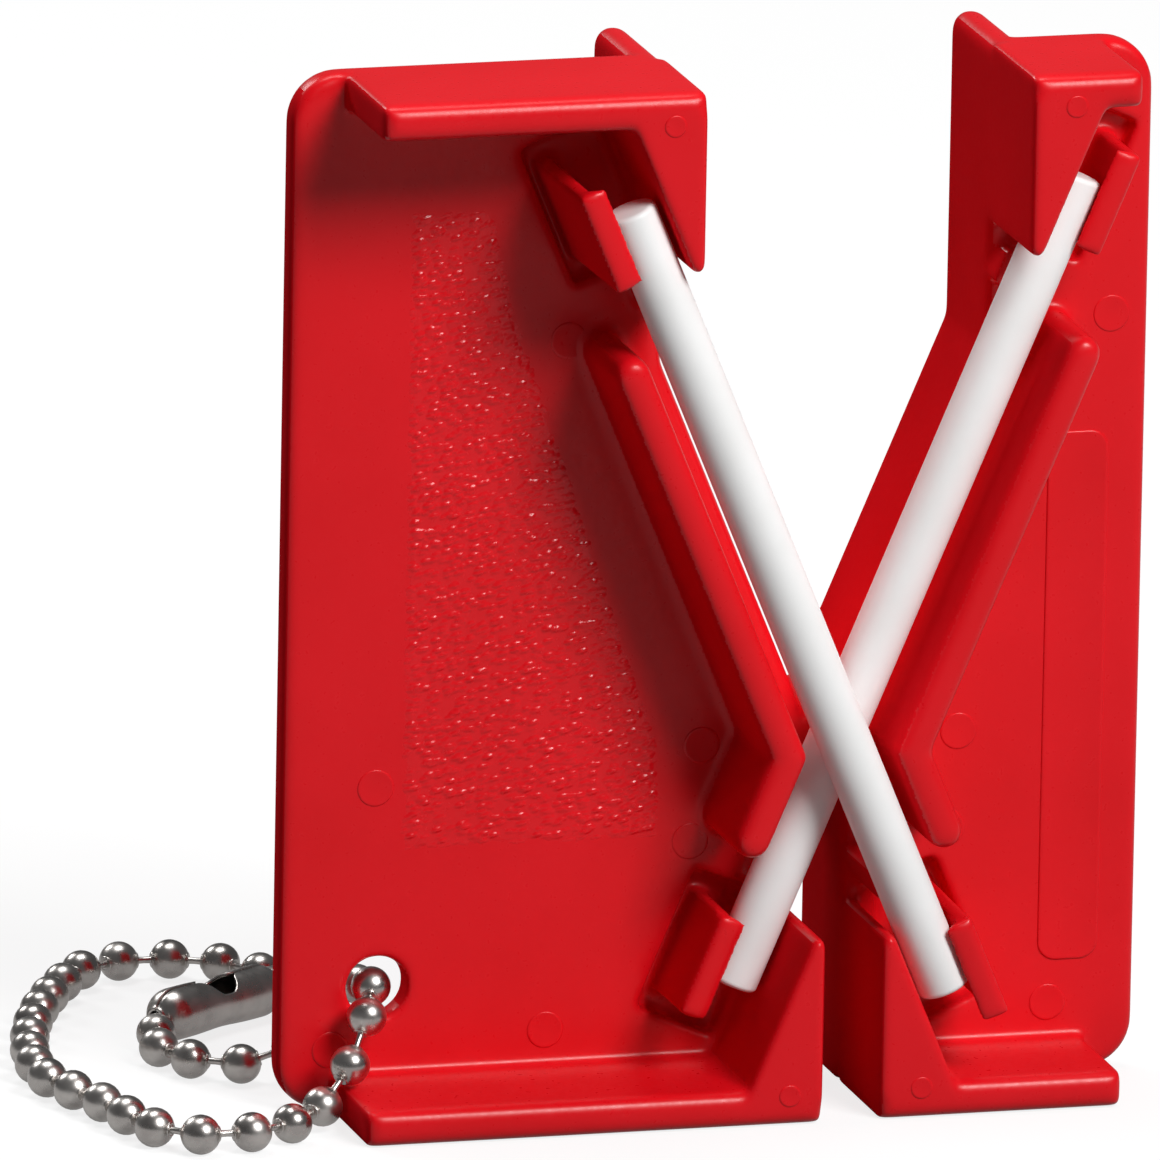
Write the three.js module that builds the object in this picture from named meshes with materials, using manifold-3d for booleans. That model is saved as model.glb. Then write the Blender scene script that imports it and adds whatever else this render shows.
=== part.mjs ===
// Ceramic rod sharpener: one moulded holder, two snap-in ceramic rods and a ball-chain loop.
// Millimetres, +Z up. The origin is on the ground under the middle of the holder.
// +X runs to the right along the front and +Y runs to the rear.

import * as THREE from 'three';
import { mergeVertices } from 'three/addons/utils/BufferGeometryUtils.js';
import Module from 'manifold-3d';

const wasm = await Module();
wasm.setup();

// Holder
const HOLDER_WIDTH = 53.1;
const HOLDER_HEIGHT = 63.5;
const HOLDER_DEPTH = 18.75;
const WALL = 2.2; // plate, lips, flange and ribs alike
const LIP_DEPTH = 8.95; // front plane of the lips to the front of the plate
const LIP_INSET = 3.2; // plate's side edge to the outer end of a lip
const PLATE_CORNER = 3;
const PLATE_EDGE_ROUND = 0.5;
const FRONT_EDGE_ROUND = 0.7;
const REAR_EDGE_ROUND = 0.9;

// Blade guide: a V that narrows along the rods, and a slot below it
const GUIDE_OFFSET = 6.52; // guide's mid-plane to the right of the holder's middle
const MOUTH_WIDTH = 19.98;
const V_SETBACK = 0.4; // slanted wall outside the rod's axis
const V_FLOOR_RISE = 0.85; // V's floor above the crossing of the rods
const SLOT_WIDTH = 3.5;
const BRIDGE = 4.4; // web between the V's floor and the slot's round end

// Rods
const ROD_DIAMETER = 3.2;
const ROD_TOP_SPREAD = 14.31; // upper end of the axis from the guide's mid-plane
const ROD_BOTTOM_SPREAD = 6.16;
const ROD_TOP_INSET = 7.3; // upper end of the axis below the holder's top
const ROD_BOTTOM_INSET = 7.5;
const ROD_END_ROUND = 0.35;
const FRONT_ROD_SETBACK = 2; // axis behind the front plane of the lips
const ROD_GAP = 0.4; // between the rods where they cross

// Seats at the rod ends
const SEAT_CLEARANCE = 0.25;
const TAB_LENGTH = 6.5;
const TAB_PAST_ROD = 2.5;
const TAB_WALL = 0.95; // at its front
const TAB_TAPER = 0.15; // added towards its root
const TAB_OVERHANG = 0.6; // of the nose over the rod
const TAB_FRONT = 0.3; // nose's front ahead of the rod
const TAB_LEAD_IN = 0.2; // depth of the sloping face that the rod is pushed past
const NOSE_SHOULDER = 0.85; // width of that sloping face
const POCKET_MARGIN = 1.3; // past both ends of the tab
const POCKET_GAP = 0.6; // outside the tab
const POCKET_DEPTH = 1.4; // into the plate
const BLOCK_TIP_RADIUS = 0.45; // of the wedge block's end
const BLOCK_ROUND = 0.25; // of its front edges
const REST_LENGTH = 2.2;
const REST_OFFSET = 0.6; // rest to pocket
const REST_INNER = 1.4; // towards the guide from the rod's axis
const REST_OUTER = 0.5;

// Finger-guard ribs beside the crossing
const RIB_CLEARANCE = 0.83; // rod's surface to the rib's inner face
const RIB_SETBACK = 1.3;
const RIB_TOP_GAP = 4.2; // along the rod from the pocket to the rib's end
const RIB_BOTTOM_GAP = 3.7;

// Ball chain
const HOLE_DIAMETER = 3.8;
const HOLE_FROM_SIDE = 6.11;
const HOLE_HEIGHT = 7.45;
const BALL_DIAMETER = 2.4;
const BALL_PITCH = 3.2;
const CHAIN_CLEARANCE = 0.28; // over the lip that it rests on
const SHEET = 0.2; // nickel sheet of the balls and of the connector
const BALL_OPENING = 1.4;
const PIN_DIAMETER = 0.44;
const PIN_ROOT = 0.15; // depth of its fixed end in the ball's sheet
const PIN_HEAD_DIAMETER = 1.56;
const CONNECTOR_LENGTH = 10.7;
const CONNECTOR_TURN = THREE.MathUtils.degToRad(33.5); // from +X, as it lies on the ground
const CONNECTOR_X = -25.17;
const CONNECTOR_Y = 19.37;
const CONNECTOR_MOUTH = 2;
const CONNECTOR_CLEARANCE = 0.2; // around the end balls
const CONNECTOR_SLIT = 0.8;
const CONNECTOR_DOOR = 2.8; // round opening that lets a ball in

// Cutters run this far past the surfaces that they cut
const CUT_SPARE = 2;

// Smoothness
const ARC_STEPS = 6;
const EDGE_STEPS = 2;
const ROD_SIDES = 24;
const BALL_SIDES = 8;
const BALL_STEPS = 5;
const PIN_SIDES = 6;
const PIN_HEAD_STEPS = 3;
const CONNECTOR_SIDES = 16;
const CONNECTOR_STEPS = 3;
const HOLE_SIDES = 24;
const ROUTE_DIVISIONS = 2000;

// Places that follow from the sizes above
const FRONT = -HOLDER_DEPTH / 2;
const REAR = HOLDER_DEPTH / 2;
const PLATE_FRONT = FRONT + LIP_DEPTH;
const PLATE_BACK = PLATE_FRONT + WALL;
const PLATE_MIDDLE = PLATE_FRONT + WALL / 2;
const LEFT = -HOLDER_WIDTH / 2;
const RIGHT = HOLDER_WIDTH / 2;
const ROD_RADIUS = ROD_DIAMETER / 2;
const SEAT_RADIUS = ROD_RADIUS + SEAT_CLEARANCE;
const TAB_FACE = SEAT_RADIUS + TAB_WALL; // tab's outer face from the rod's axis, at its front
const TAB_ROOT = TAB_FACE + TAB_TAPER;
const FRONT_ROD_Y = FRONT + FRONT_ROD_SETBACK;
const REAR_ROD_Y = FRONT_ROD_Y + ROD_DIAMETER + ROD_GAP;
const ROD_RISE = HOLDER_HEIGHT - ROD_TOP_INSET - ROD_BOTTOM_INSET;
const ROD_TILT = Math.atan((ROD_TOP_SPREAD + ROD_BOTTOM_SPREAD) / ROD_RISE);
const SIN = Math.sin(ROD_TILT);
const COS = Math.cos(ROD_TILT);
const TAN = Math.tan(ROD_TILT);
const CROSSING_HEIGHT = ROD_BOTTOM_INSET + ROD_BOTTOM_SPREAD / TAN;
const ROD_REACH_UP = ROD_TOP_SPREAD / SIN; // along the axis from the crossing
const ROD_REACH_DOWN = ROD_BOTTOM_SPREAD / SIN;
const V_FLOOR_HEIGHT = CROSSING_HEIGHT + V_FLOOR_RISE;
const BALL_RADIUS = BALL_DIAMETER / 2;
const CONNECTOR_RADIUS = BALL_RADIUS + CONNECTOR_CLEARANCE + SHEET;
const CONNECTOR_END_BALL = CONNECTOR_LENGTH / 2 - CONNECTOR_RADIUS; // from its middle
const ON_GROUND = BALL_RADIUS;
const ON_LIP = WALL + CHAIN_CLEARANCE + BALL_RADIUS;

// Chain's route from the ball that rests on the lip: over the lip's end and round on the ground
const FRONT_ROUTE = [
  [-22.95, -3.6, ON_LIP], [-24.9, -4.8, 1.6], [-27.4, -6.9, ON_GROUND], [-30.4, -8.3, ON_GROUND],
  [-33.5, -8.1, ON_GROUND], [-35.6, -6, ON_GROUND], [-36.5, -3, ON_GROUND], [-37.2, 0.2, ON_GROUND],
  [-38.2, 3.2, ON_GROUND], [-39, 6.3, ON_GROUND], [-38.9, 9.7, ON_GROUND], [-38.3, 13, ON_GROUND],
  [-37.3, 16.6, ON_GROUND], [-36.1, 20, ON_GROUND], [-34.6, 23.4, ON_GROUND], [-32.9, 26.6, ON_GROUND],
  [-31, 29.5, ON_GROUND], [-28.3, 31.2, ON_GROUND], [-25.1, 31.2, ON_GROUND], [-22.2, 29.8, ON_GROUND],
  [-20.3, 27.2, ON_GROUND], [-20.2, 24, ON_GROUND],
];

// And from the same ball up through the hole, down behind the plate and along the ground
const BACK_ROUTE = [
  [-22.95, -3.6, ON_LIP], [-21.6, -2.2, 6.2], [-20.6, 0.6, 7.3], [-20.6, 3.6, 6.7], [-21.55, 5.73, 4.51],
  [-23.81, 6.23, 2.3], [-26.75, 6.81, ON_GROUND], [-29.47, 8.51, ON_GROUND], [-30.69, 11.47, ON_GROUND],
  [-30.05, 14.6, ON_GROUND],
];

// Finishes
const RED_PLASTIC = { color: 0xc9161f, roughness: 0.4, metalness: 0 };
const WHITE_CERAMIC = { color: 0xf4f4f0, roughness: 0.45, metalness: 0 };
const NICKEL = { color: 0xc8c6c0, roughness: 0.2, metalness: 1 };

const sharpener = new THREE.Group();

function addPart(name, geometry, finish) {
  const mesh = new THREE.Mesh(geometry, new THREE.MeshStandardMaterial(finish));
  mesh.name = name;
  sharpener.add(mesh);
  return mesh;
}

// A closed solid made from a three.js geometry, with its shared corners merged.
function solidOf(geometry) {
  const bare = geometry.clone();
  bare.deleteAttribute('normal');
  bare.deleteAttribute('uv');
  const merged = mergeVertices(bare);
  const corners = merged.index.array;
  const triangles = [];
  for (let first = 0; first < corners.length; first += 3) {
    const [a, b, c] = corners.slice(first, first + 3);
    if (a !== b && b !== c && c !== a) triangles.push(a, b, c);
  }
  const vertProperties = new Float32Array(merged.attributes.position.array);
  const triVerts = new Uint32Array(triangles);
  return new wasm.Manifold(new wasm.Mesh({ numProp: 3, vertProperties, triVerts }));
}

function geometryOf(solid) {
  const { vertProperties, triVerts } = solid.getMesh();
  const geometry = new THREE.BufferGeometry();
  geometry.setAttribute('position', new THREE.BufferAttribute(new Float32Array(vertProperties), 3));
  geometry.setIndex(new THREE.BufferAttribute(new Uint32Array(triVerts), 1));
  geometry.computeVertexNormals();
  return geometry;
}

function joined(solids) {
  return solids.reduce((whole, solid) => whole.add(solid));
}

// An outline in x and z, carried from front to back with its end edges rounded.
function prism(shape, front, back, round = 0) {
  const geometry = new THREE.ExtrudeGeometry(shape, {
    depth: back - front - 2 * round,
    bevelEnabled: round > 0,
    bevelThickness: round,
    bevelSize: round,
    bevelOffset: -round,
    bevelSegments: EDGE_STEPS,
    curveSegments: ARC_STEPS,
  });
  geometry.rotateX(Math.PI / 2);
  geometry.translate(0, back - round, 0);
  return solidOf(geometry);
}

function outline(points) {
  return new THREE.Shape(points.map(([x, z]) => new THREE.Vector2(x, z)));
}

function rectangle(left, bottom, right, top) {
  return outline([[left, bottom], [right, bottom], [right, top], [left, top]]);
}

function roundedRectangle(left, bottom, right, top, radius) {
  const shape = new THREE.Shape();
  shape.absarc(right - radius, bottom + radius, radius, -Math.PI / 2, 0);
  shape.absarc(right - radius, top - radius, radius, 0, Math.PI / 2);
  shape.absarc(left + radius, top - radius, radius, Math.PI / 2, Math.PI);
  shape.absarc(left + radius, bottom + radius, radius, Math.PI, 1.5 * Math.PI);
  return shape;
}

// Each rod half leaves the crossing to one side (-1 left, 1 right) and up or down (1 or -1).
// A point beside it lies some way along its axis and some way out, away from the guide.
function besideRod(side, rise, along, out) {
  const x = GUIDE_OFFSET + side * (along * SIN + out * COS);
  const z = CROSSING_HEIGHT + rise * (along * COS - out * SIN);
  return [x, z];
}

function alongAtHeight(rise, out, height) {
  return (rise * (height - CROSSING_HEIGHT) + out * SIN) / COS;
}

function rodY(side, rise) {
  return side * rise < 0 ? FRONT_ROD_Y : REAR_ROD_Y;
}

function rodReach(rise) {
  return rise > 0 ? ROD_REACH_UP : ROD_REACH_DOWN;
}

function tabSpan(rise) {
  const end = rodReach(rise) + TAB_PAST_ROD;
  return [end - TAB_LENGTH, end];
}

// Half width of the V's slanted wall, set off from the rod's axis, at a height.
function slantedHalfWidth(height, setOff) {
  return (height - CROSSING_HEIGHT) * TAN + setOff / COS;
}

function slantedHeight(halfWidth, setOff) {
  return CROSSING_HEIGHT + (halfWidth - setOff / COS) / TAN;
}

// Band around the V and the slot, as one outline: the V is open at the top, the slot at the base.
function guideOutline() {
  const mouth = MOUTH_WIDTH / 2;
  const slot = SLOT_WIDTH / 2;
  const outerSetback = V_SETBACK + WALL;
  const inner = [
    [slantedHalfWidth(V_FLOOR_HEIGHT, V_SETBACK), V_FLOOR_HEIGHT],
    [mouth, slantedHeight(mouth, V_SETBACK)],
  ];
  const outer = [
    [mouth + WALL, slantedHeight(mouth + WALL, outerSetback)],
    [slot + WALL, slantedHeight(slot + WALL, outerSetback)],
    [slot + WALL, 0],
    [slot, 0],
  ];
  const at = (side) => ([x, z]) => [GUIDE_OFFSET + side * x, z];
  const shape = outline(inner.map(at(1)));
  const follow = (side, points) => points.map(at(side)).forEach(([x, z]) => shape.lineTo(x, z));
  const end = WALL / 2;
  const overTop = (side) => {
    const [x, z] = at(side)([mouth + end, HOLDER_HEIGHT - end]);
    shape.absarc(x, z, end, Math.PI, 0, true);
  };
  overTop(1);
  follow(1, outer);
  shape.absarc(GUIDE_OFFSET, V_FLOOR_HEIGHT - BRIDGE - slot, slot, 0, Math.PI);
  follow(-1, outer.reverse());
  overTop(-1);
  follow(-1, inner.reverse());
  return shape;
}

// Opening of the V and the slot in the plate, taken to the middle of the band around them.
function guideCuts() {
  const overlap = WALL / 2;
  const mouth = MOUTH_WIDTH / 2 + overlap;
  const slot = SLOT_WIDTH / 2 + overlap;
  const setback = V_SETBACK + overlap;
  const foot = slantedHeight(slot, setback);
  const above = HOLDER_HEIGHT + CUT_SPARE;
  const half = [[slot, -CUT_SPARE], [slot, foot], [mouth, slantedHeight(mouth, setback)], [mouth, above]];
  const right = half.map(([x, z]) => [GUIDE_OFFSET + x, z]);
  const left = half.map(([x, z]) => [GUIDE_OFFSET - x, z]).reverse();
  return prism(outline([...right, ...left]), PLATE_FRONT - CUT_SPARE, PLATE_BACK + CUT_SPARE);
}

// Blind pocket in the plate behind a rod end: the tab stands on its floor.
function pocketCut(side, rise) {
  const [tabStart, tabEnd] = tabSpan(rise);
  const start = tabStart - POCKET_MARGIN;
  const end = tabEnd + POCKET_MARGIN;
  const outer = TAB_ROOT + POCKET_GAP;
  const corners = [[start, -ROD_RADIUS], [end, -ROD_RADIUS], [end, outer], [start, outer]];
  const shape = outline(corners.map(([along, out]) => besideRod(side, rise, along, out)));
  return prism(shape, PLATE_FRONT - CUT_SPARE, PLATE_FRONT + POCKET_DEPTH);
}

function plate() {
  const shape = roundedRectangle(LEFT, 0, RIGHT, HOLDER_HEIGHT, PLATE_CORNER);
  let solid = prism(shape, PLATE_FRONT, PLATE_BACK, PLATE_EDGE_ROUND);
  for (const side of [-1, 1]) {
    for (const rise of [-1, 1]) solid = solid.subtract(pocketCut(side, rise));
  }
  const holeRadius = HOLE_DIAMETER / 2;
  const hole = new THREE.CylinderGeometry(holeRadius, holeRadius, WALL + 2 * CUT_SPARE, HOLE_SIDES);
  hole.translate(LEFT + HOLE_FROM_SIDE, PLATE_MIDDLE, HOLE_HEIGHT);
  return solid.subtract(solidOf(hole)).subtract(guideCuts());
}

// Lip along the top or the base, from near the plate's side to the wall of the V or the slot.
function lip(side, rise) {
  const opening = rise > 0 ? MOUTH_WIDTH : SLOT_WIDTH;
  const outer = side < 0 ? LEFT + LIP_INSET : RIGHT - LIP_INSET;
  const inner = GUIDE_OFFSET + side * opening / 2;
  const bottom = rise > 0 ? HOLDER_HEIGHT - WALL : 0;
  const shape = rectangle(Math.min(outer, inner), bottom, Math.max(outer, inner), bottom + WALL);
  return prism(shape, FRONT, PLATE_MIDDLE, FRONT_EDGE_ROUND);
}

// Wedge between the wall of the guide and the rod, joined to the lip and with a rounded tip.
function block(side, rise) {
  const edge = rise > 0 ? HOLDER_HEIGHT : 0;
  const lipMiddle = edge - rise * WALL / 2;
  const opening = (rise > 0 ? MOUTH_WIDTH : SLOT_WIDTH) / 2;
  const wall = GUIDE_OFFSET + side * opening;
  const faceOut = -SEAT_RADIUS;
  const shape = outline([
    [wall, lipMiddle], besideRod(side, rise, alongAtHeight(rise, faceOut, lipMiddle), faceOut),
  ]);
  const tipOut = faceOut - BLOCK_TIP_RADIUS;
  const tipAlong = (opening + BLOCK_TIP_RADIUS - tipOut * COS) / SIN;
  const [x, z] = besideRod(side, rise, tipAlong, tipOut);
  const fromRodFace = Math.atan2(-rise * SIN, side * COS);
  const toWall = side > 0 ? Math.PI : 0;
  shape.absarc(x, z, BLOCK_TIP_RADIUS, fromRodFace, toWall, side * rise > 0);
  return prism(shape, FRONT, PLATE_MIDDLE, BLOCK_ROUND);
}

// Snap tab: a springy wall beside the rod end with a nose that hooks over the rod.
function tab(side, rise) {
  const axis = rodY(side, rise);
  const [start, end] = tabSpan(rise);
  const tip = ROD_RADIUS - TAB_OVERHANG;
  const drop = Math.sqrt(SEAT_RADIUS ** 2 - tip ** 2);
  const front = axis - ROD_RADIUS - TAB_FRONT;
  const under = axis - drop;
  const underAtWall = under + (SEAT_RADIUS - tip) * tip / drop;
  const back = PLATE_BACK - (WALL - POCKET_DEPTH) / 2;
  const profile = [
    [SEAT_RADIUS, back], [SEAT_RADIUS, underAtWall], [tip, under], [tip, front + TAB_LEAD_IN],
    [tip + NOSE_SHOULDER, front], [TAB_FACE, front], [TAB_ROOT, PLATE_FRONT], [TAB_ROOT, back],
  ];
  const geometry = new THREE.ExtrudeGeometry(outline(profile), { depth: end - start, bevelEnabled: false });
  const [x, z] = besideRod(side, rise, start, 0);
  const outward = new THREE.Vector3(side * COS, 0, -rise * SIN);
  const backward = new THREE.Vector3(0, 1, 0);
  const along = new THREE.Vector3(side * SIN, 0, rise * COS);
  geometry.applyMatrix4(new THREE.Matrix4().makeBasis(outward, backward, along).setPosition(x, 0, z));
  const mirrored = outward.cross(backward).dot(along) < 0;
  return solidOf(mirrored ? turnedInsideOut(geometry) : geometry);
}

function turnedInsideOut(geometry) {
  const position = geometry.attributes.position;
  const index = [];
  for (let first = 0; first < position.count; first += 3) index.push(first, first + 2, first + 1);
  geometry.setIndex(index);
  return geometry;
}

// Post behind the rod, beside the pocket.
function rest(side, rise) {
  const end = tabSpan(rise)[0] - POCKET_MARGIN - REST_OFFSET;
  const start = end - REST_LENGTH;
  const corners = [[start, -REST_INNER], [end, -REST_INNER], [end, REST_OUTER], [start, REST_OUTER]];
  const shape = outline(corners.map(([along, out]) => besideRod(side, rise, along, out)));
  return prism(shape, rodY(side, rise) + SEAT_RADIUS, PLATE_MIDDLE);
}

// Angled rib that follows both rods on one side of the crossing.
function rib(side) {
  const inner = ROD_RADIUS + RIB_CLEARANCE;
  const outer = inner + WALL;
  const middle = inner + WALL / 2;
  const corner = (out) => besideRod(side, 1, out * TAN, out);
  const shape = new THREE.Shape();
  const startAt = ([x, z]) => shape.moveTo(x, z);
  const goTo = ([x, z]) => shape.lineTo(x, z);
  startAt(corner(inner));
  for (const [rise, gap] of [[1, RIB_TOP_GAP], [-1, RIB_BOTTOM_GAP]]) {
    const reach = tabSpan(rise)[0] - POCKET_MARGIN - gap;
    const [first, last] = rise > 0 ? [inner, outer] : [outer, inner];
    goTo(besideRod(side, rise, reach, first));
    const [x, z] = besideRod(side, rise, reach, middle);
    const [fromX, fromZ] = besideRod(side, rise, reach, first);
    const from = Math.atan2(fromZ - z, fromX - x);
    const clockwise = side > 0;
    shape.absarc(x, z, WALL / 2, from, from + (clockwise ? -Math.PI : Math.PI), clockwise);
    goTo(besideRod(side, rise, reach, last));
    if (rise > 0) goTo(corner(outer));
  }
  return prism(shape, FRONT + RIB_SETBACK, PLATE_MIDDLE, FRONT_EDGE_ROUND);
}

function addHolder() {
  const solids = [plate(), prism(guideOutline(), PLATE_FRONT, REAR, REAR_EDGE_ROUND)];
  for (const side of [-1, 1]) {
    solids.push(rib(side));
    for (const rise of [-1, 1]) {
      solids.push(lip(side, rise), block(side, rise), tab(side, rise), rest(side, rise));
    }
  }
  addPart('holder_body', geometryOf(joined(solids)), RED_PLASTIC);
}

function addRod(name, y, tilt) {
  const bottom = -ROD_REACH_DOWN;
  const top = ROD_REACH_UP;
  const faceRadius = ROD_RADIUS - ROD_END_ROUND;
  const profile = [
    [0, bottom], [faceRadius, bottom], [ROD_RADIUS, bottom + ROD_END_ROUND],
    [ROD_RADIUS, top - ROD_END_ROUND], [faceRadius, top], [0, top],
  ];
  const geometry = revolved(profile, ROD_SIDES);
  geometry.rotateX(Math.PI / 2);
  const mesh = addPart(name, geometry, WHITE_CERAMIC);
  mesh.position.set(GUIDE_OFFSET, y, CROSSING_HEIGHT);
  mesh.rotation.y = tilt;
}

function revolved(profile, sides) {
  const points = profile.map(([radius, height]) => new THREE.Vector2(radius, height));
  return new THREE.LatheGeometry(points, sides);
}

// Points of an arc about the axis' origin, by angle from the axis' lower end.
function arcProfile(radius, from, to, steps) {
  const points = [];
  for (let step = 0; step <= steps; step += 1) {
    const angle = from + (to - from) * step / steps;
    points.push([radius * Math.sin(angle), -radius * Math.cos(angle)]);
  }
  return points;
}

// Ball centres along a route that ends at a ball held in the connector, evenly spaced.
function ballsAlong(route, connectorEnd) {
  const points = route.map((point) => new THREE.Vector3(...point));
  const reach = connectorEnd * CONNECTOR_END_BALL;
  const endX = CONNECTOR_X + reach * Math.cos(CONNECTOR_TURN);
  const endY = CONNECTOR_Y + reach * Math.sin(CONNECTOR_TURN);
  points.push(new THREE.Vector3(endX, endY, CONNECTOR_RADIUS));
  const curve = new THREE.CatmullRomCurve3(points);
  curve.arcLengthDivisions = ROUTE_DIVISIONS;
  const centres = curve.getSpacedPoints(Math.round(curve.getLength() / BALL_PITCH));
  for (const centre of centres) centre.z = Math.max(centre.z, ON_GROUND);
  return centres;
}

// Hollow ball with an opening at its lower end.
function ballShell() {
  const inside = BALL_RADIUS - SHEET;
  const outerEdge = Math.asin(BALL_OPENING / 2 / BALL_RADIUS);
  const innerEdge = Math.asin(BALL_OPENING / 2 / inside);
  const outer = arcProfile(BALL_RADIUS, outerEdge, Math.PI, BALL_STEPS);
  const inner = arcProfile(inside, Math.PI, innerEdge, BALL_STEPS - 1);
  return solidOf(revolved([...outer, ...inner, outer[0]], BALL_SIDES));
}

// Pin from the wall of one ball to its head in the middle of the next.
function pinTo(target) {
  const radius = PIN_DIAMETER / 2;
  const headRadius = PIN_HEAD_DIAMETER / 2;
  const start = BALL_RADIUS - PIN_ROOT;
  const spacing = target.length();
  const head = arcProfile(headRadius, Math.asin(radius / headRadius), Math.PI, PIN_HEAD_STEPS);
  const raised = head.map(([x, y]) => [x, y + spacing]);
  const geometry = revolved([[0, start], [radius, start], ...raised], PIN_SIDES);
  geometry.applyQuaternion(turnFromUp(target));
  return solidOf(geometry);
}

function turnFromUp(direction) {
  const up = new THREE.Vector3(0, 1, 0);
  return new THREE.Quaternion().setFromUnitVectors(up, direction.clone().normalize());
}

// Links from one end of the connector to the other: each is a ball and the pin to the next one.
function addLinks(balls) {
  balls.forEach((centre, place) => {
    const before = balls[place - 1];
    const after = balls[place + 1];
    const arriving = before ? centre.clone().sub(before).normalize() : new THREE.Vector3();
    const leaving = after ? after.clone().sub(centre).normalize() : new THREE.Vector3();
    const turn = turnFromUp(arriving.add(leaving));
    let solid = ballShell();
    if (after) solid = solid.add(pinTo(after.clone().sub(centre).applyQuaternion(turn.clone().invert())));
    const number = String(place + 1).padStart(2, '0');
    const mesh = addPart(`chain_link_${number}`, geometryOf(solid), NICKEL);
    mesh.position.copy(centre);
    mesh.quaternion.copy(turn);
  });
}

// Sheet barrel with open ends, a slit along its upper side and a round door for the balls.
function addConnector() {
  const inside = CONNECTOR_RADIUS - SHEET;
  const halfRound = (radius, rise) => {
    const edge = Math.asin(CONNECTOR_MOUTH / 2 / radius);
    const [from, to] = rise < 0 ? [edge, Math.PI / 2] : [Math.PI / 2, Math.PI - edge];
    const arc = arcProfile(radius, from, to, CONNECTOR_STEPS);
    return arc.map(([x, y]) => [x, y + rise * CONNECTOR_END_BALL]);
  };
  const outer = [...halfRound(CONNECTOR_RADIUS, -1), ...halfRound(CONNECTOR_RADIUS, 1)];
  const inner = [...halfRound(inside, -1), ...halfRound(inside, 1)].reverse();
  const barrel = solidOf(revolved([...outer, ...inner, outer[0]], CONNECTOR_SIDES));
  const slit = new THREE.BoxGeometry(CONNECTOR_SLIT, CONNECTOR_LENGTH + CUT_SPARE, 2 * CONNECTOR_RADIUS);
  slit.translate(0, 0, CONNECTOR_RADIUS);
  const doorRadius = CONNECTOR_DOOR / 2;
  const door = new THREE.CylinderGeometry(doorRadius, doorRadius, 2 * CONNECTOR_RADIUS, CONNECTOR_SIDES);
  door.rotateX(Math.PI / 2);
  door.translate(0, 0, CONNECTOR_RADIUS);
  const solid = barrel.subtract(solidOf(slit)).subtract(solidOf(door));
  const mesh = addPart('chain_connector', geometryOf(solid), NICKEL);
  mesh.position.set(CONNECTOR_X, CONNECTOR_Y, CONNECTOR_RADIUS);
  mesh.rotation.z = CONNECTOR_TURN - Math.PI / 2;
}

function addChain() {
  const back = ballsAlong(BACK_ROUTE, -1);
  const front = ballsAlong(FRONT_ROUTE, 1);
  addLinks([...back.reverse(), ...front.slice(1)]);
  addConnector();
}

addHolder();
addRod('front_rod', FRONT_ROD_Y, -ROD_TILT);
addRod('rear_rod', REAR_ROD_Y, ROD_TILT);
addChain();

export default sharpener;
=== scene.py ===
"""Looks of the ceramic rod sharpener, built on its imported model.

Sizes are in millimetres in the part's own frame and are turned into metres where meshes are made.
"""

import math

import bpy
import numpy as np
from mathutils import Matrix, Vector, noise


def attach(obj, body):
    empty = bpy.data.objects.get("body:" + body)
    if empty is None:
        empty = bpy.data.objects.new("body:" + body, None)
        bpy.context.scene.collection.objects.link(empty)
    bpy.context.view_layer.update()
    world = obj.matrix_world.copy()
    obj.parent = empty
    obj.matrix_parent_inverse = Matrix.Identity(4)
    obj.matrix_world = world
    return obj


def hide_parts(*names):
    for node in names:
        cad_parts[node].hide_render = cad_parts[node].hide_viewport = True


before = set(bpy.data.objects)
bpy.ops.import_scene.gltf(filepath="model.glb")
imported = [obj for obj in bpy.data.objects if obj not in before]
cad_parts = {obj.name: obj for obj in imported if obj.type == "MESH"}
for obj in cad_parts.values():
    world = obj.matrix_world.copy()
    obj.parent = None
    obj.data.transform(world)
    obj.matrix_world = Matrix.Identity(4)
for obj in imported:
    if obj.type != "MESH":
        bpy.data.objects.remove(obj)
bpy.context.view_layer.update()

MM = 0.001
ON_AXIS = 1e-9
WHITE = (1.0, 1.0, 1.0, 1.0)

# Holder
PLATE_FRONT = -0.425
LIP_FRONT = -9.375
VOXEL = 0.18
SMOOTH_FACTOR = 0.5
SMOOTH_ROUNDS = 28
KEPT_FACES = 0.24
# Walls facing further left than this get the dull copy of the plastic: painted shade
SHADED_WALL_FACING = -0.75

# Thin trim on the holder, sunk this far into the plastic behind it
SUNK = 0.3

# Pebbled thumb panel; its right edge is given as (height, x)
GRIP_LEFT = -19.35
GRIP_BOTTOM = 15.7
GRIP_TOP = 55.0
GRIP_RIGHT = [(GRIP_BOTTOM, -3.05), (21.5, -3.25), (48.5, -12.55), (GRIP_TOP, -14.05)]
GRIP_COLUMNS = 178
GRIP_STEP = 0.072
GRIP_EDGE_SUNK = 0.03
GRIP_RISE = 0.045
GRIP_FADE = 0.7
GRAIN_WIDTH = 0.72
GRAIN_RISE = 0.31
GRAIN_LEAN = math.radians(18)
GRAIN_REACH = 0.62
GRAIN_HEIGHT = 0.12
GRAIN_MEAN_SIZE = 0.75
GRAIN_SIZE_SPREAD = 0.5
GRAIN_SIZE_SCALE = 3.7
GRAIN_RIPPLE = 0.06
GRAIN_RIPPLE_SCALE = 3.1

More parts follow.
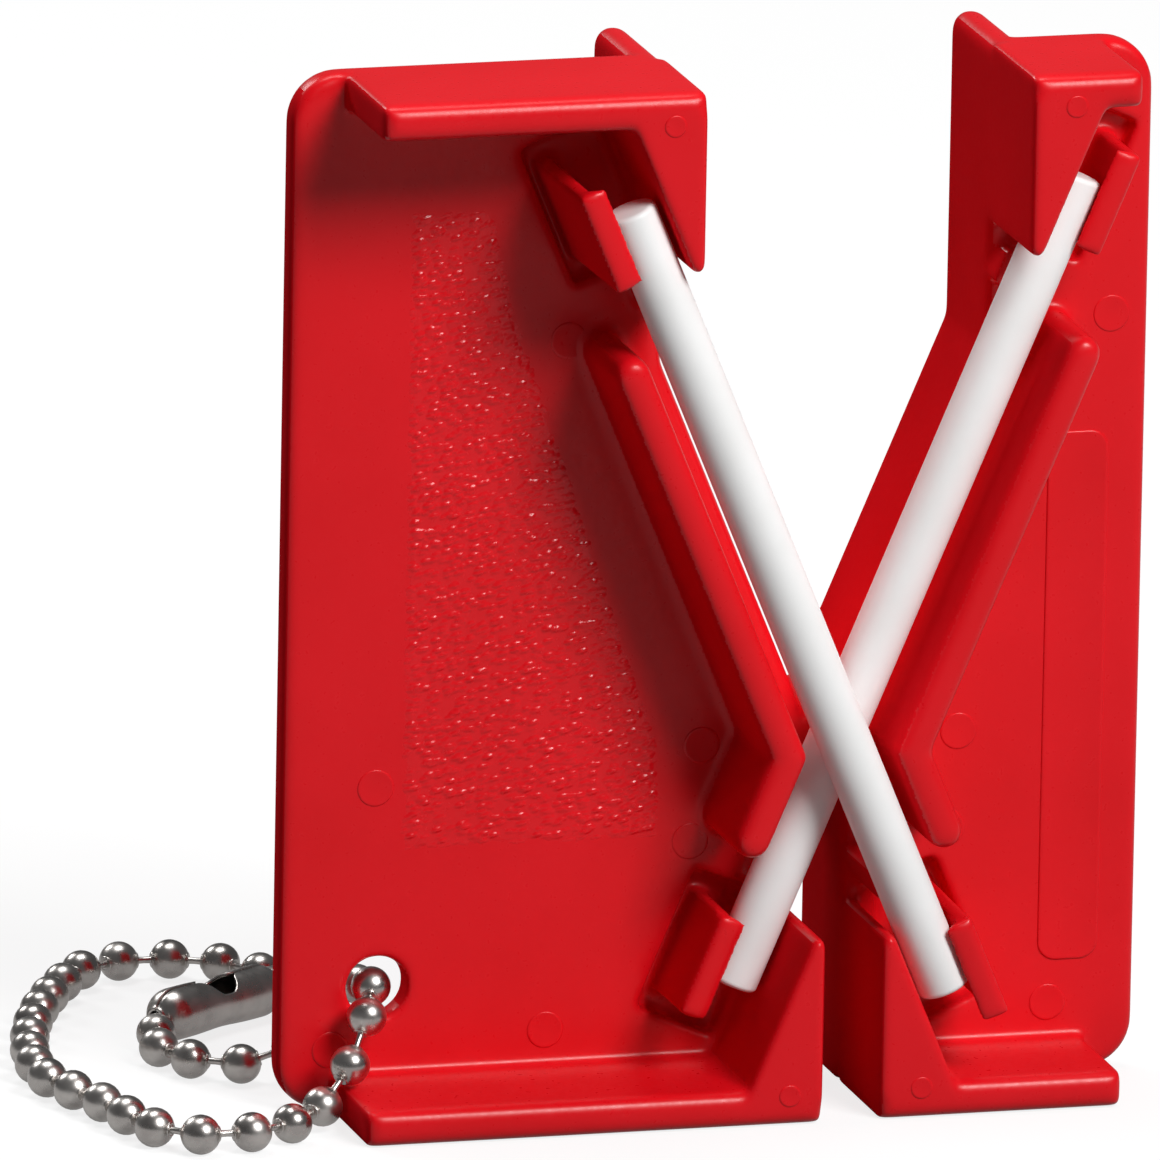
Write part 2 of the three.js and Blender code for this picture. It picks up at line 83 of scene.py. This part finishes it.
# Ejector marks at (x, z), with a rim of (inset, rise)
EJECTOR_DIAMETER = 2.3
EJECTOR_MARKS = [
    (-20.8, 19.77), (-1.31, 15.5), (-0.7, 21.37), (-9.38, 46.62), (-10.07, 4.32), (-23.34, 3.78),
    (24.18, 46.67), (15.22, 21.42), (14.62, 15.47), (21.11, 4.34),
]
SMALL_MARK_DIAMETER = 1.4
SMALL_MARKS = [(2.64, 1.89), (10.79, 1.95), (19.11, 61.65), (-5.57, 61.6)]
MARK_RIM = [(0.03, 0.02), (0.1, 0.045), (0.22, 0.03)]
MARK_SIDES = 40

# Bare side panel, with rings of (inset, rise)
PANEL_CENTRE = (22.3, 23.25)
PANEL_SIZE = (3.85, 32.7)
PANEL_CORNER = 1.2
PANEL_RINGS = [(0.0, -SUNK), (0.05, 0.05), (0.16, 0.08), (0.3, 0.06)]
PANEL_SIDES = 64

# Rods
GUIDE_X = 6.52
CROSSING_Z = 22.155
ROD_RADIUS = 1.6
ROD_END_ROUND = 0.32
ROD_END_STEPS = 5
ROD_SIDES = 64
ROD_REACH_UP = 36.93
ROD_REACH_DOWN = 15.9
ROD_TILT = math.radians(22.798)
FRONT_ROD_Y = -7.375
REAR_ROD_Y = -3.775

# Ball chain; the collar is (inset, rise) from the rim of a ball's hole, and the pin's foot (swell, rise)
BALL_RADIUS = 1.2
BALL_PITCH = 3.2
BALL_SIDES = 28
BALL_STEPS = 20
PIN_RADIUS = 0.22
PIN_SIDES = 12
PIN_FOOT = [(0.02, -0.02), (0.0, 0.12)]
PIN_WAIST = 0.92
COLLAR_RADIUS = 0.5
COLLAR = [(0.0, -0.06), (0.0, 0.02), (0.06, 0.075), (0.14, 0.075), (0.2, 0.02)]

# Connector of the chain
CONNECTOR_MIDDLE = (-25.17, 19.37)
CONNECTOR_TURN = math.radians(33.5)
CONNECTOR_LENGTH = 10.7
CONNECTOR_RADIUS = 1.6
CONNECTOR_SHEET = 0.2
CONNECTOR_ROWS = 120
CONNECTOR_COLUMNS = 56
CONNECTOR_END_BALL = CONNECTOR_LENGTH / 2 - CONNECTOR_RADIUS
MOUTH_RADIUS = 0.7
SLIT_HALF = 0.14
WIDEST_OPENING = 0.95
DOOR_RADIUS = 1.2
DOOR_REACH = 1.2
WAIST_DEPTH = 0.1
WAIST_REACH = 1.6

# Route of the chain, both ways from the ball on the lip to the connector
ON_GROUND = BALL_RADIUS
BALL_ON_LIP = (-22.95, -3.6, 3.68)
CHAIN_EXIT = (-20.6, 0.6, 7.3)
FRONT_ON_GROUND = [
    (-27.4, -6.9), (-30.4, -8.3), (-33.5, -8.1), (-35.6, -6), (-36.5, -3), (-37.2, 0.2), (-38.2, 3.2),
    (-39, 6.3), (-38.9, 9.7), (-38.3, 13), (-37.3, 16.6), (-36.1, 20), (-34.6, 23.4), (-32.9, 26.6),
    (-31, 29.5), (-28.3, 31.2), (-25.1, 31.2), (-22.2, 29.8), (-20.3, 27.2), (-20.2, 24),
]
BACK_ON_GROUND = [(-26.75, 6.81), (-29.47, 8.51), (-30.69, 11.47), (-30.05, 14.6)]
FRONT_ROUTE = [BALL_ON_LIP, (-24.9, -4.8, 1.6)]
FRONT_ROUTE += [(x, y, ON_GROUND) for x, y in FRONT_ON_GROUND]
BACK_ROUTE = [
    BALL_ON_LIP, (-21.6, -2.2, 6.2), CHAIN_EXIT, (-20.6, 3.6, 6.7), (-21.55, 5.73, 4.51), (-23.81, 6.23, 2.3),
]
BACK_ROUTE += [(x, y, ON_GROUND) for x, y in BACK_ON_GROUND]
ROUTE_DIVISIONS = 2000

# Materials: noise is (scale for a metre, detail), a bump is (strength, metres), and a ramp has two stops
PLASTIC_CLOUD = (90.0, 3.0)
PLASTIC_COLOURS = [(0.3, (0.72, 0.004, 0.009, 1.0)), (0.7, (0.79, 0.006, 0.013, 1.0))]
PLASTIC_GRAIN = (2600.0, 2.0)
PLASTIC_BUMP = (0.12, 0.00004)
SATIN_ROUGHNESS = [(0.3, 0.27), (0.7, 0.37)]
SATIN_SPECULAR = 0.3
# Dull copy of the plastic, almost without sheen, for the left-facing walls: painted shade, not a finish the
# moulding has
SHADED_WALL_ROUGHNESS = [(0.3, 0.8), (0.7, 0.95)]
SHADED_WALL_SPECULAR = 0.02
GRAINED_ROUGHNESS = [(0.3, 0.2), (0.7, 0.28)]
GRAINED_SPECULAR = 0.36
CERAMIC_CLOUD = (240.0, 4.0)
CERAMIC_COLOURS = [(0.3, (0.91, 0.91, 0.9, 1.0)), (0.65, (0.95, 0.95, 0.945, 1.0))]
CERAMIC_GRAIN = (5200.0, 3.0)
CERAMIC_ROUGHNESS = [(0.3, 0.42), (0.7, 0.58)]
CERAMIC_BUMP = (0.15, 0.00002)
NICKEL_CLOUD = (700.0, 4.0)
NICKEL_COLOURS = [(0.3, (0.46, 0.43, 0.41, 1.0)), (0.7, (0.64, 0.61, 0.58, 1.0))]
NICKEL_ROUGHNESS = [(0.35, 0.24), (0.7, 0.36)]

# Camera, as fitted to the photograph: a long way off, a little left of the front and above
IMAGE_SIZE = 1160
PIXELS_PER_MM = 16.795
CAMERA_DISTANCE = 1918.6
CAMERA_RIGHT = Vector((0.96359, -0.26679, 0.01791))
CAMERA_UP = Vector((0.04913, 0.24250, 0.96891))
AIM_POINT = Vector((0.45, 0.625, 31.75))
AIM_PIXEL = (718.7, 571.0)
SENSOR = 36.0
FARTHEST_SEEN = 100000.0

# Studio; a lamp is (name, place, size, watts)
FLOOR_HALF = 3000.0
FLOOR_COLOUR = (0.22, 0.22, 0.22, 1.0)
FLOOR_ROUGHNESS = 0.9
FLOOR_SEEN = 0.8
FLOOR_IN_MIRRORS = 0.3
WORLD_COLOUR = (0.97, 0.98, 1.0, 1.0)
WORLD_STRENGTH = 0.045
WORLD_IN_MIRRORS = 0.1
WORLD_SEEN = 0.95
LAMP_AIM = (0, 0, 30)
LAMPS = [
    ("key", (232, -475, 489), (280, 280), 4.9),
    ("top", (-20, 120, 640), (320, 260), 1.6),
    ("rear", (-250, 480, 360), (160, 160), 1.0),
]


def link(obj):
    bpy.context.scene.collection.objects.link(obj)
    return obj


def add_mesh(name, points, faces, material, body, slot):
    """A smooth-shaded piece from points in millimetres."""
    mesh = bpy.data.meshes.new(name)
    mesh.from_pydata([tuple(MM * c for c in p) for p in points], [], faces)
    mesh.validate()
    mesh.update()
    return add_piece(name, mesh, material, body)


def add_piece(name, mesh, material, body):
    """A smooth-shaded piece from a mesh, riding on a body."""
    mesh.polygons.foreach_set("use_smooth", [True] * len(mesh.polygons))
    mesh.materials.clear()
    mesh.materials.append(material)
    obj = link(bpy.data.objects.new(name, mesh))
    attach(obj, body)
    return obj


def revolve(profile, sides):
    """Points and faces of a profile of (radius, height) turned about +Z, with poles on the axis."""
    points = []
    rings = []
    for radius, height in profile:
        if radius < ON_AXIS:
            rings.append([len(points)])
            points.append((0.0, 0.0, height))
            continue
        ring = []
        for step in range(sides):
            angle = 2 * math.pi * step / sides
            ring.append(len(points))
            points.append((radius * math.cos(angle), radius * math.sin(angle), height))
        rings.append(ring)
    faces = []
    for lower, upper in zip(rings, rings[1:]):
        for step in range(sides):
            after = (step + 1) % sides
            if len(lower) == 1:
                faces.append((lower[0], upper[after], upper[step]))
            elif len(upper) == 1:
                faces.append((lower[step], lower[after], upper[0]))
            else:
                faces.append((lower[step], lower[after], upper[after], upper[step]))
    return points, faces


def placed(shape, turn, place):
    """A shape's points and faces, turned and then moved to a place."""
    points, faces = shape
    return [tuple(turn @ Vector(p) + place) for p in points], faces


def merged(shapes):
    """Points and faces of several shapes as one."""
    points = []
    faces = []
    for shape_points, shape_faces in shapes:
        first = len(points)
        points.extend(shape_points)
        faces.extend(tuple(first + corner for corner in face) for face in shape_faces)
    return points, faces


def grid_faces(rows, columns):
    faces = []
    for row in range(rows - 1):
        for column in range(columns - 1):
            corner = row * columns + column
            faces.append((corner, corner + 1, corner + columns + 1, corner + columns))
    return faces


# Materials
def new_material(name):
    material = bpy.data.materials.new(name)
    material.use_nodes = True
    tree = material.node_tree
    shader = tree.nodes["Principled BSDF"]
    return material, tree, shader


def noise_value(tree, scale, detail):
    """Noise in the piece's own coordinates."""
    coordinates = tree.nodes.new("ShaderNodeTexCoord")
    node = tree.nodes.new("ShaderNodeTexNoise")
    node.inputs["Scale"].default_value = scale
    node.inputs["Detail"].default_value = detail
    tree.links.new(coordinates.outputs["Object"], node.inputs["Vector"])
    return node.outputs["Fac"]


def add_bump(tree, height, strength, distance, shader):
    node = tree.nodes.new("ShaderNodeBump")
    node.inputs["Strength"].default_value = strength
    node.inputs["Distance"].default_value = distance
    tree.links.new(height, node.inputs["Height"])
    tree.links.new(node.outputs["Normal"], shader.inputs["Normal"])


def add_ramp(tree, factor, stops, socket):
    """Drives a socket from one stop of (position, colour) to the other."""
    node = tree.nodes.new("ShaderNodeValToRGB")
    for element, (position, colour) in zip(node.color_ramp.elements, stops):
        element.position = position
        element.color = colour
    tree.links.new(factor, node.inputs["Fac"])
    tree.links.new(node.outputs["Color"], socket)


def greys(stops):
    return [(position, (value, value, value, 1.0)) for position, value in stops]


def plastic_material(name, roughness, specular):
    """Clouded red plastic, whose finish varies between two stops of roughness."""
    material, tree, shader = new_material(name)
    cloud = noise_value(tree, *PLASTIC_CLOUD)
    add_ramp(tree, cloud, PLASTIC_COLOURS, shader.inputs["Base Color"])
    grain = noise_value(tree, *PLASTIC_GRAIN)
    add_ramp(tree, grain, greys(roughness), shader.inputs["Roughness"])
    add_bump(tree, grain, *PLASTIC_BUMP, shader)
    shader.inputs["Specular IOR Level"].default_value = specular
    return material


def ceramic_material():
    material, tree, shader = new_material("white_ceramic")
    cloud = noise_value(tree, *CERAMIC_CLOUD)
    add_ramp(tree, cloud, CERAMIC_COLOURS, shader.inputs["Base Color"])
    grain = noise_value(tree, *CERAMIC_GRAIN)
    add_ramp(tree, grain, greys(CERAMIC_ROUGHNESS), shader.inputs["Roughness"])
    add_bump(tree, grain, *CERAMIC_BUMP, shader)
    return material


def nickel_material():
    material, tree, shader = new_material("nickel")
    cloud = noise_value(tree, *NICKEL_CLOUD)
    add_ramp(tree, cloud, NICKEL_COLOURS, shader.inputs["Base Color"])
    add_ramp(tree, cloud, greys(NICKEL_ROUGHNESS), shader.inputs["Roughness"])
    shader.inputs["Metallic"].default_value = 1.0
    return material


def strength_by_ray(tree, plain, seen, mirrored):
    """Strength of a pale background: full where it is seen, less in mirrors, and least as light."""
    path = tree.nodes.new("ShaderNodeLightPath")
    rays = (("Is Glossy Ray", mirrored), ("Is Transmission Ray", seen), ("Is Camera Ray", seen))
    strength = None
    for ray, most in rays:
        choice = tree.nodes.new("ShaderNodeMapRange")
        choice.inputs["To Min"].default_value = plain
        choice.inputs["To Max"].default_value = most
        tree.links.new(path.outputs[ray], choice.inputs["Value"])
        if strength:
            tree.links.new(strength, choice.inputs["To Min"])
        strength = choice.outputs["Result"]
    return strength


def floor_material():
    """Grey paper that shines to the camera, and less in mirrors, so that it reads as white."""
    material, tree, shader = new_material("floor_paper")
    shader.inputs["Base Color"].default_value = FLOOR_COLOUR
    shader.inputs["Roughness"].default_value = FLOOR_ROUGHNESS
    shader.inputs["Specular IOR Level"].default_value = 0.0
    strength = strength_by_ray(tree, 0.0, FLOOR_SEEN, FLOOR_IN_MIRRORS)
    shader.inputs["Emission Color"].default_value = WHITE
    tree.links.new(strength, shader.inputs["Emission Strength"])
    return material


# Holder
def holder_piece(satin, shaded_walls):
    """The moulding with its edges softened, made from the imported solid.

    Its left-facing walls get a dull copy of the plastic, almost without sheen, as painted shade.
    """
    mould = link(bpy.data.objects.new("mould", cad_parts["holder_body"].data.copy()))
    remesh = mould.modifiers.new("remesh", "REMESH")
    remesh.mode = "VOXEL"
    remesh.voxel_size = VOXEL * MM
    smooth = mould.modifiers.new("smooth", "SMOOTH")
    smooth.factor = SMOOTH_FACTOR
    smooth.iterations = SMOOTH_ROUNDS
    thin = mould.modifiers.new("thin", "DECIMATE")
    thin.ratio = KEPT_FACES
    graph = bpy.context.evaluated_depsgraph_get()
    mesh = bpy.data.meshes.new_from_object(mould.evaluated_get(graph))
    bpy.data.objects.remove(mould)
    piece = add_piece("moulded_holder", mesh, satin, "holder")
    mesh.materials.append(shaded_walls)
    # Left-facing walls take the dull copy, which paints them darker as shade
    for polygon in mesh.polygons:
        polygon.material_index = 1 if polygon.normal.x < SHADED_WALL_FACING else 0
    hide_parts("holder_body")


def pebble(x, z):
    """Height of the moulded grain, from 0 in its valleys: leaning low domes of mixed sizes."""
    along = x * math.cos(GRAIN_LEAN) + z * math.sin(GRAIN_LEAN)
    across = z * math.cos(GRAIN_LEAN) - x * math.sin(GRAIN_LEAN)
    spot = Vector((along / GRAIN_WIDTH, across / GRAIN_RISE, 0.0))
    distances, middles = noise.voronoi(spot)
    dome = max(0.0, 1.0 - (distances[0] / GRAIN_REACH) ** 2)
    size = GRAIN_MEAN_SIZE + GRAIN_SIZE_SPREAD * noise.noise(middles[0] * GRAIN_SIZE_SCALE)
    return max(0.0, dome * size + GRAIN_RIPPLE * noise.noise(spot * GRAIN_RIPPLE_SCALE))


def grip_piece(material):
    """Pebbled thumb panel: a fine grid over the plate with grain that fades at its edges."""
    rows = round((GRIP_TOP - GRIP_BOTTOM) / GRIP_STEP) + 1
    edge_heights, edge_places = zip(*GRIP_RIGHT)
    points = []
    for row in range(rows):
        z = GRIP_BOTTOM + (GRIP_TOP - GRIP_BOTTOM) * row / (rows - 1)
        right = float(np.interp(z, edge_heights, edge_places))
        for column in range(GRIP_COLUMNS):
            x = GRIP_LEFT + (right - GRIP_LEFT) * column / (GRIP_COLUMNS - 1)
            edge = min(x - GRIP_LEFT, right - x, z - GRIP_BOTTOM, GRIP_TOP - z)
            fade = min(1.0, edge / GRIP_FADE)
            rise = fade * (GRIP_RISE + GRAIN_HEIGHT * pebble(x, z))
            points.append((x, PLATE_FRONT + GRIP_EDGE_SUNK - rise, z))
    faces = grid_faces(rows, GRIP_COLUMNS)
    last_row = (rows - 1) * GRIP_COLUMNS
    rim = [*range(GRIP_COLUMNS)]
    rim += [row * GRIP_COLUMNS + GRIP_COLUMNS - 1 for row in range(1, rows)]
    rim += [*range(last_row + GRIP_COLUMNS - 2, last_row - 1, -1)]
    rim += [row * GRIP_COLUMNS for row in range(rows - 2, 0, -1)]
    first = len(points)
    points += [(points[corner][0], PLATE_FRONT + SUNK, points[corner][2]) for corner in rim]
    for step, corner in enumerate(rim):
        after = (step + 1) % len(rim)
        faces.append((corner, first + step, first + after, rim[after]))
    back = range(first, first + len(rim))
    faces.append(tuple(reversed(back)))
    add_mesh("grip_panel", points, faces, material, "holder", "red_plastic")


def mark_shape(diameter, x, y, z):
    """Round mark left by an ejector pin: a low disc with a soft rim, facing the front."""
    radius = diameter / 2
    profile = [(0.0, -SUNK), (radius, -SUNK)]
    profile += [(radius - inset, rise) for inset, rise in MARK_RIM]
    profile.append((0.0, MARK_RIM[-1][1]))
    facing_front = Matrix.Rotation(math.pi / 2, 3, "X")
    return placed(revolve(profile, MARK_SIDES), facing_front, Vector((x, y, z)))


def marks_piece(material):
    shapes = [mark_shape(EJECTOR_DIAMETER, x, PLATE_FRONT, z) for x, z in EJECTOR_MARKS]
    shapes += [mark_shape(SMALL_MARK_DIAMETER, x, LIP_FRONT, z) for x, z in SMALL_MARKS]
    points, faces = merged(shapes)
    add_mesh("ejector_marks", points, faces, material, "holder", "red_plastic")


def panel_piece(material):
    """Bare raised panel with rounded corners on the right of the plate."""
    width, height = PANEL_SIZE
    points = []
    for inset, rise in PANEL_RINGS:
        reach = PANEL_CORNER - inset
        for step in range(PANEL_SIDES):
            angle = 2 * math.pi * (step + 0.5) / PANEL_SIDES
            corner_x = math.copysign(width / 2 - PANEL_CORNER, math.cos(angle))
            corner_z = math.copysign(height / 2 - PANEL_CORNER, math.sin(angle))
            x = PANEL_CENTRE[0] + corner_x + reach * math.cos(angle)
            z = PANEL_CENTRE[1] + corner_z + reach * math.sin(angle)
            points.append((x, PLATE_FRONT - rise, z))
    faces = [tuple(reversed(range(PANEL_SIDES)))]
    for ring in range(len(PANEL_RINGS) - 1):
        low = ring * PANEL_SIDES
        high = low + PANEL_SIDES
        for step in range(PANEL_SIDES):
            after = (step + 1) % PANEL_SIDES
            faces.append((low + step, low + after, high + after, high + step))
    last = (len(PANEL_RINGS) - 1) * PANEL_SIDES
    faces.append(tuple(range(last, last + PANEL_SIDES)))
    add_mesh("side_panel", points, faces, material, "holder", "red_plastic")


# Rods
def rod_piece(name, y, lean, material):
    """Round rod with rounded ends, leaning in the plane of the plate."""
    corner = [(ROD_RADIUS - ROD_END_ROUND * (1 - math.sin(a)), ROD_END_ROUND * (1 - math.cos(a)))
              for a in np.linspace(0, math.pi / 2, ROD_END_STEPS)]
    lower = [(0.0, -ROD_REACH_DOWN)] + [(r, -ROD_REACH_DOWN + h) for r, h in corner]
    upper = [(r, ROD_REACH_UP - h) for r, h in reversed(corner)] + [(0.0, ROD_REACH_UP)]
    turn = Matrix.Rotation(lean, 3, "Y")
    shape = placed(revolve(lower + upper, ROD_SIDES), turn, Vector((GUIDE_X, y, CROSSING_Z)))
    piece = add_mesh("ceramic_" + name, *shape, material, name, "white_ceramic")
    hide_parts(name)


# Ball chain
def spline_points(points, divisions):
    """Centripetal Catmull-Rom curve through the points, finely divided."""
    first = points[0] * 2 - points[1]
    last = points[-1] * 2 - points[-2]
    padded = [first, *points, last]
    out = []
    spans = len(points) - 1
    for division in range(divisions + 1):
        place = spans * division / divisions
        span = min(int(place), spans - 1)
        t = place - span
        p0, p1, p2, p3 = padded[span:span + 4]
        d0 = math.sqrt((p1 - p0).length)
        d1 = math.sqrt((p2 - p1).length)
        d2 = math.sqrt((p3 - p2).length)
        start = ((p1 - p0) / d0 - (p2 - p0) / (d0 + d1) + (p2 - p1) / d1) * d1
        end = ((p2 - p1) / d1 - (p3 - p1) / (d1 + d2) + (p3 - p2) / d2) * d1
        square = (p2 - p1) * 3 - start * 2 - end
        cube = (p1 - p2) * 2 + start + end
        out.append(p1 + start * t + square * t * t + cube * t * t * t)
    return out


def balls_along(route, connector_end):
    """Ball centres, evenly spaced along a route that ends in the connector."""
    reach = connector_end * CONNECTOR_END_BALL
    end = Vector((CONNECTOR_MIDDLE[0] + reach * math.cos(CONNECTOR_TURN),
                  CONNECTOR_MIDDLE[1] + reach * math.sin(CONNECTOR_TURN), CONNECTOR_RADIUS))
    line = np.array(spline_points([Vector(p) for p in route] + [end], ROUTE_DIVISIONS))
    travelled = np.concatenate([[0.0], np.cumsum(np.linalg.norm(np.diff(line, axis=0), axis=1))])
    count = round(travelled[-1] / BALL_PITCH)
    stops = np.linspace(0.0, travelled[-1], count + 1)
    centres = np.stack([np.interp(stops, travelled, line[:, axis]) for axis in range(3)], axis=1)
    centres[:, 2] = np.maximum(centres[:, 2], ON_GROUND)
    return [Vector(c) for c in centres]


def ball_shape():
    profile = []
    for step in range(BALL_STEPS + 1):
        angle = math.pi * step / BALL_STEPS
        profile.append((BALL_RADIUS * math.sin(angle), -BALL_RADIUS * math.cos(angle)))
    profile[0] = (0.0, -BALL_RADIUS)
    profile[-1] = (0.0, BALL_RADIUS)
    return revolve(profile, BALL_SIDES)


def pin_shape(spacing):
    """Pin between two balls, with the drawn rim of the ball's hole round each end."""
    rim = math.sqrt(BALL_RADIUS ** 2 - COLLAR_RADIUS ** 2)
    half = [(COLLAR_RADIUS - inset, rim + rise) for inset, rise in COLLAR]
    half += [(PIN_RADIUS + swell, rim + rise) for swell, rise in PIN_FOOT]
    half.append((PIN_RADIUS * PIN_WAIST, spacing / 2))
    profile = [(0.0, half[0][1])] + half
    profile += [(r, spacing - h) for r, h in reversed(half[:-1])] + [(0.0, spacing - half[0][1])]
    return revolve(profile, PIN_SIDES)


def chain_piece(material):
    """Balls and pins from the connector's one end, through the plate's hole, to its other end."""
    back = balls_along(BACK_ROUTE, -1)
    front = balls_along(FRONT_ROUTE, 1)
    centres = back[::-1] + front[1:]
    shapes = []
    for centre, after in zip(centres, centres[1:]):
        step = after - centre
        turn = step.to_track_quat("Z", "Y").to_matrix()
        shapes.append(placed(ball_shape(), turn, centre))
        shapes.append(placed(pin_shape(step.length), turn, centre))
    shapes.append(placed(ball_shape(), turn, centres[-1]))
    points, faces = merged(shapes)
    piece = add_mesh("ball_chain", points, faces, material, "holder", "nickel")
    nodes = sorted(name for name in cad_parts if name.startswith("chain_link_"))
    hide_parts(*nodes)


def connector_piece(material):
    """Sheet barrel that closes the chain: domed ends, a slit above and a round door in its middle."""
    half = CONNECTOR_LENGTH / 2
    points = []
    for row in range(CONNECTOR_ROWS):
        along = -half + CONNECTOR_LENGTH * row / (CONNECTOR_ROWS - 1)
        into_dome = max(0.0, CONNECTOR_RADIUS - half + abs(along))
        dome = math.sqrt(max(CONNECTOR_RADIUS ** 2 - into_dome ** 2, 0.0))
        waist = WAIST_DEPTH * math.exp(-(along / WAIST_REACH) ** 2)
        radius = max(dome - waist, MOUTH_RADIUS)
        door = DOOR_RADIUS * math.exp(-(along / DOOR_REACH) ** 4)
        gap = math.asin(min(WIDEST_OPENING, (SLIT_HALF + door) / CONNECTOR_RADIUS))
        for column in range(CONNECTOR_COLUMNS):
            angle = math.pi / 2 + gap + (2 * math.pi - 2 * gap) * column / (CONNECTOR_COLUMNS - 1)
            points.append((radius * math.cos(angle), along, radius * math.sin(angle)))
    turn = Matrix.Rotation(CONNECTOR_TURN - math.pi / 2, 3, "Z")
    middle = Vector((*CONNECTOR_MIDDLE, CONNECTOR_RADIUS))
    shape = placed((points, grid_faces(CONNECTOR_ROWS, CONNECTOR_COLUMNS)), turn, middle)
    piece = add_mesh("chain_coupling", *shape, material, "holder", "nickel")
    sheet = piece.modifiers.new("sheet", "SOLIDIFY")
    sheet.thickness = CONNECTOR_SHEET * MM
    sheet.offset = 1.0
    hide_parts("chain_connector")
    return piece


# Studio
def add_camera():
    facing = CAMERA_RIGHT.cross(CAMERA_UP).normalized()
    up = facing.cross(CAMERA_RIGHT).normalized()
    centre = IMAGE_SIZE / 2
    across = (centre - AIM_PIXEL[0]) / PIXELS_PER_MM
    rise = (AIM_PIXEL[1] - centre) / PIXELS_PER_MM
    place = AIM_POINT + across * CAMERA_RIGHT + rise * up + CAMERA_DISTANCE * facing
    data = bpy.data.cameras.new("camera")
    data.sensor_width = SENSOR
    data.lens = SENSOR * CAMERA_DISTANCE * PIXELS_PER_MM / IMAGE_SIZE
    data.clip_end = FARTHEST_SEEN * MM
    camera = link(bpy.data.objects.new("camera", data))
    axes = Matrix((CAMERA_RIGHT, up, facing)).transposed()
    camera.matrix_world = Matrix.Translation(place * MM) @ axes.to_4x4()
    bpy.context.scene.camera = camera


def add_floor():
    half = FLOOR_HALF * MM
    corners = [(-half, -half, 0), (half, -half, 0), (half, half, 0), (-half, half, 0)]
    mesh = bpy.data.meshes.new("floor")
    mesh.from_pydata(corners, [], [(0, 1, 2, 3)])
    mesh.materials.append(floor_material())
    link(bpy.data.objects.new("floor", mesh))


def add_lamp(name, place, size, power):
    """Area lamp that faces the middle of the part."""
    data = bpy.data.lights.new(name, "AREA")
    data.shape = "RECTANGLE"
    data.size = size[0] * MM
    data.size_y = size[1] * MM
    data.energy = power
    lamp = link(bpy.data.objects.new(name, data))
    lamp.location = Vector(place) * MM
    lamp.rotation_mode = "QUATERNION"
    lamp.rotation_quaternion = (Vector(LAMP_AIM) - Vector(place)).to_track_quat("-Z", "Y")


def add_studio():
    world = bpy.data.worlds.new("studio")
    world.use_nodes = True
    tree = world.node_tree
    background = tree.nodes["Background"]
    background.inputs["Color"].default_value = WORLD_COLOUR
    strength = strength_by_ray(tree, WORLD_STRENGTH, WORLD_SEEN, WORLD_IN_MIRRORS)
    tree.links.new(strength, background.inputs["Strength"])
    bpy.context.scene.world = world
    for lamp in LAMPS:
        add_lamp(*lamp)
    bpy.context.scene.view_settings.view_transform = "Standard"


def main():
    satin = plastic_material("red_plastic", SATIN_ROUGHNESS, SATIN_SPECULAR)
    # Dull copy of the plastic that darkens the left-facing walls: painted shade
    shaded_walls = plastic_material("shaded_wall_plastic", SHADED_WALL_ROUGHNESS, SHADED_WALL_SPECULAR)
    grained = plastic_material("grained_plastic", GRAINED_ROUGHNESS, GRAINED_SPECULAR)
    ceramic = ceramic_material()
    nickel = nickel_material()
    add_camera()
    add_floor()
    add_studio()
    holder_piece(satin, shaded_walls)
    grip_piece(grained)
    marks_piece(satin)
    panel_piece(satin)
    rod_piece("front_rod", FRONT_ROD_Y, -ROD_TILT, ceramic)
    rod_piece("rear_rod", REAR_ROD_Y, ROD_TILT, ceramic)
    connector = connector_piece(nickel)
    chain_piece(nickel)


main()
